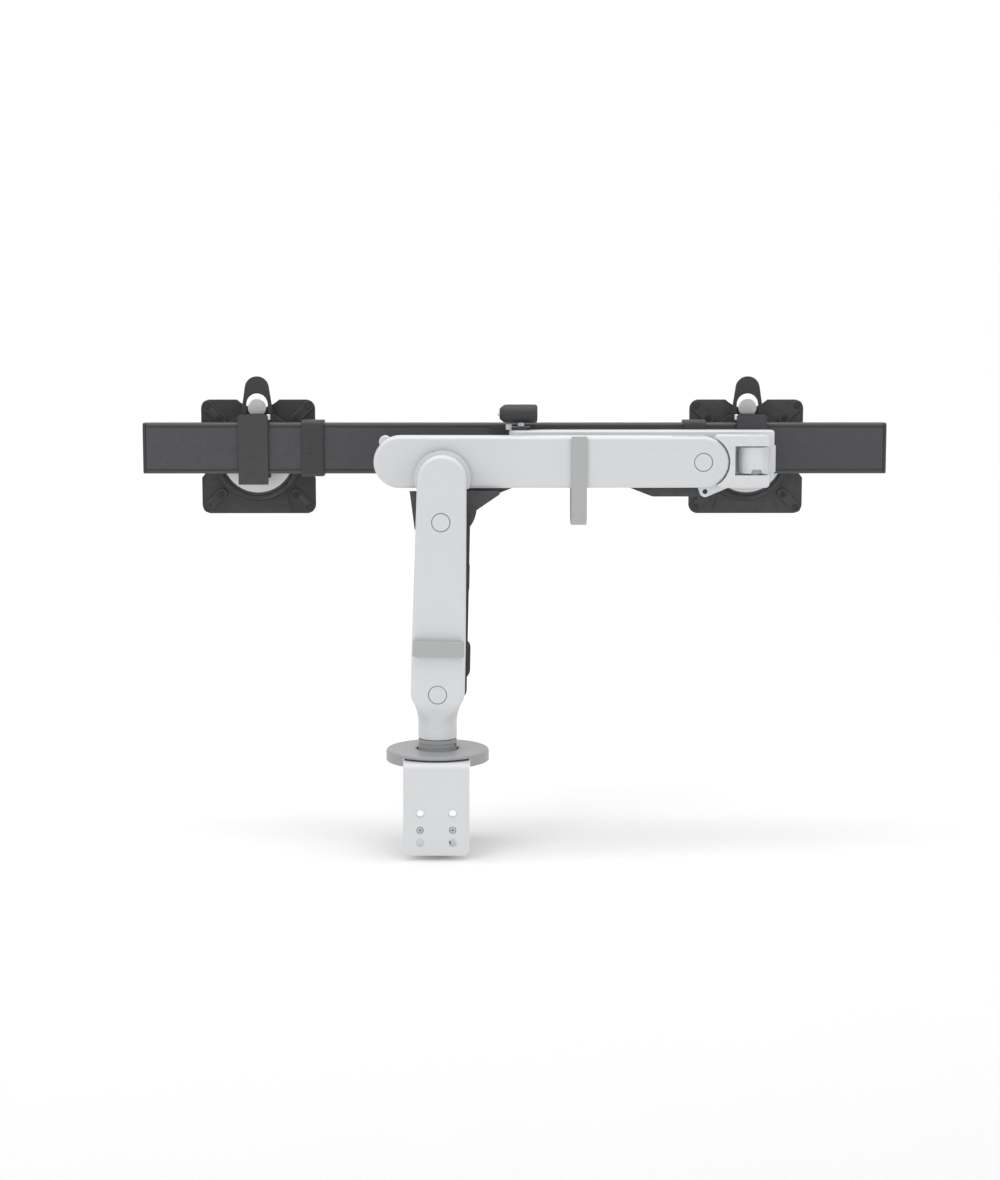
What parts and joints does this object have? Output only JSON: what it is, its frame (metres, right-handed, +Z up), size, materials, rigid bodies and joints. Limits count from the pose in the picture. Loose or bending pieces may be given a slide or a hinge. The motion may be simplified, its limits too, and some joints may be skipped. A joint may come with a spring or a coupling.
{
  "type": "monitor arm",
  "caption": "Clamp-on desk arm with two level-keeping links, a swivelling front link and a crossbar with sliding, tilting and turning screen heads.",
  "frame": {"origin": "on the post's swivel axis at the desk top, the underside of the base's rubber pad", "axes": "+X along the desk's rear edge towards the wrist of the folded arm, +Y over the desk towards the screens, +Z up"},
  "size_m": [0.7227, 0.1844, 0.4442],
  "materials": {
    "light_paint": "satin light grey paint",
    "clip_plastic": "matt grey",
    "cover_paint": "satin grey paint",
    "dark_paint": "satin charcoal paint",
    "dark_plastic": "matt charcoal",
    "bar_paint": "satin charcoal paint",
    "steel": "bright",
    "silver": "satin",
    "pad_rubber": "matt",
    "bush_plastic": "matt natural"
  },
  "bodies": {
    "clamp": {"clamp_bracket": "light_paint", "desk_pad": "pad_rubber", "base_cover": "cover_paint", "post_spigot": "steel", "base_collar": "cover_paint", "stop_peg": "silver", "lower_jaw": "light_paint", "jaw_screw_left": "steel", "jaw_screw_right": "steel"},
    "clamp_pad": {"pressure_pad": "steel"},
    "clamp_screw": {"clamp_screw": "steel", "clamp_knob": "dark_plastic"},
    "foot": {"foot_casting": "light_paint", "foot_bush": "bush_plastic", "foot_pivot_pin": "steel", "foot_pivot_cap": "light_paint"},
    "lower_link": {"lower_link_shell": "light_paint", "lower_link_cap": "light_paint", "lower_spring": "steel", "lower_spring_seat": "dark_plastic", "lower_cable_clip": "clip_plastic"},
    "lower_rod": {"lower_rod": "dark_paint"},
    "knee": {"knee_bracket": "dark_paint", "knee_collar": "light_paint", "lower_knee_pin": "steel", "upper_knee_pin": "steel"},
    "upper_arm": {"upper_arm_shell": "light_paint", "wrist_cap": "light_paint", "wrist_pin": "steel", "upper_spring": "steel", "spring_adjuster": "dark_plastic", "balance_knob": "light_paint", "arm_cable_clip": "clip_plastic"},
    "upper_rod": {"upper_rod": "dark_paint"},
    "wrist": {"wrist_clevis": "light_paint", "swivel_pin": "steel"},
    "front_link": {"front_link": "light_paint"},
    "carrier": {"bar_carrier": "dark_paint", "carrier_pin": "steel"},
    "lock_handle": {"lock_stem": "steel", "lock_handle": "dark_plastic", "handle_rivet": "silver"},
    "crossbar": {"crossbar": "bar_paint", "bar_end_cap_left": "dark_plastic", "bar_end_cap_right": "dark_plastic", "bar_clip_left": "dark_plastic", "bar_clip_right": "dark_plastic"},
    "slider_left": {"bar_hook_left": "dark_paint"},
    "head_left": {"tilt_yoke_left": "dark_paint", "hub_disc_left": "silver", "lever_tongue_left": "silver"},
    "plate_left": {"vesa_plate_left": "dark_paint"},
    "release_left": {"release_lever_left": "dark_plastic"},
    "slider_right": {"bar_hook_right": "dark_paint"},
    "head_right": {"tilt_yoke_right": "dark_paint", "hub_disc_right": "silver", "lever_tongue_right": "silver"},
    "plate_right": {"vesa_plate_right": "dark_paint"},
    "release_right": {"release_lever_right": "dark_plastic"}
  },
  "joints": [
    {"name": "screw_turn", "type": "hinge", "parent": "clamp_pad", "child": "clamp_screw", "pos_m": [0, -0.02, -0.025], "axis": [0, 0, 1], "range_deg": [-2522, 1442]},
    {"name": "pad_slide", "type": "slide", "parent": "clamp", "child": "clamp_pad", "axis": [0, 0, 1], "range_m": [-0.014, 0.008]},
    {"name": "foot_swivel", "type": "hinge", "parent": "clamp", "child": "foot", "pos_m": [0, 0, 0.0213], "axis": [0, 0, 1], "range_deg": [0, 180]},
    {"name": "lower_tilt", "type": "hinge", "parent": "foot", "child": "lower_link", "pos_m": [0.0007, -0.011, 0.0658], "axis": [0, 1, 0], "range_deg": [-15, 50]},
    {"name": "lower_rod_pivot", "type": "hinge", "parent": "foot", "child": "lower_rod", "pos_m": [0.0207, 0.004, 0.0658], "axis": [0, 1, 0], "range_deg": [-15, 50]},
    {"name": "knee_level", "type": "hinge", "parent": "lower_link", "child": "knee", "pos_m": [0.00429, 0.008, 0.22776], "axis": [0, 1, 0], "range_deg": [-50, 15]},
    {"name": "upper_tilt", "type": "hinge", "parent": "knee", "child": "upper_arm", "pos_m": [0.00429, 0.028, 0.28146], "axis": [0, -1, 0], "range_deg": [-40, 40]},
    {"name": "upper_rod_pivot", "type": "hinge", "parent": "knee", "child": "upper_rod", "pos_m": [0.00659, 0.026, 0.25346], "axis": [0, -1, 0], "range_deg": [-40, 40]},
    {"name": "wrist_level", "type": "hinge", "parent": "upper_arm", "child": "wrist", "pos_m": [0.25089, 0.028, 0.28146], "axis": [0, -1, 0], "range_deg": [-40, 40]},
    {"name": "front_swivel", "type": "hinge", "parent": "wrist", "child": "front_link", "pos_m": [0.29999, 0.028, 0.28146], "axis": [0, 0, -1], "range_deg": [0, 180]},
    {"name": "bar_swivel", "type": "hinge", "parent": "front_link", "child": "carrier", "pos_m": [0.07969, 0.0635, 0.28146], "axis": [0, 0, 1], "range_deg": [0, 12]},
    {"name": "lock_turn", "type": "hinge", "parent": "carrier", "child": "lock_handle", "pos_m": [0.07969, 0.0635, 0.316], "axis": [0, 0, 1], "range_deg": [-90, 90]},
    {"name": "bar_slide", "type": "slide", "parent": "carrier", "child": "crossbar", "axis": [1, 0, 0], "range_m": [-0.12, 0.12]},
    {"name": "head_slide_left", "type": "slide", "parent": "crossbar", "child": "slider_left", "axis": [1, 0, 0], "range_m": [-0.085, 0.028]},
    {"name": "head_tilt_left", "type": "hinge", "parent": "slider_left", "child": "head_left", "pos_m": [-0.18, 0.112, 0.28065], "axis": [1, 0, 0], "range_deg": [-20, 12]},
    {"name": "plate_turn_left", "type": "hinge", "parent": "head_left", "child": "plate_left", "pos_m": [-0.18, 0.125, 0.28065], "axis": [0, 1, 0], "range_deg": [-90, 90]},
    {"name": "release_left", "type": "hinge", "parent": "head_left", "child": "release_left", "pos_m": [-0.18, 0.1177, 0.32465], "axis": [1, 0, 0], "range_deg": [0, 8], "stiffness_Nm_per_rad": 0.3},
    {"name": "head_slide_right", "type": "slide", "parent": "crossbar", "child": "slider_right", "axis": [1, 0, 0], "range_m": [-0.028, 0.1]},
    {"name": "head_tilt_right", "type": "hinge", "parent": "slider_right", "child": "head_right", "pos_m": [0.304, 0.112, 0.28065], "axis": [1, 0, 0], "range_deg": [-20, 12]},
    {"name": "plate_turn_right", "type": "hinge", "parent": "head_right", "child": "plate_right", "pos_m": [0.304, 0.125, 0.28065], "axis": [0, 1, 0], "range_deg": [-90, 90]},
    {"name": "release_right", "type": "hinge", "parent": "head_right", "child": "release_right", "pos_m": [0.304, 0.1177, 0.32465], "axis": [1, 0, 0], "range_deg": [0, 8], "stiffness_Nm_per_rad": 0.3}
  ],
  "couplings": [
    {"joint": "screw_turn", "follows": "pad_slide", "rad_per_m": 3141.6},
    {"joint": "lower_rod_pivot", "follows": "lower_tilt", "ratio": 1},
    {"joint": "knee_level", "follows": "lower_tilt", "ratio": -1},
    {"joint": "upper_rod_pivot", "follows": "upper_tilt", "ratio": 1},
    {"joint": "wrist_level", "follows": "upper_tilt", "ratio": -1}
  ]
}
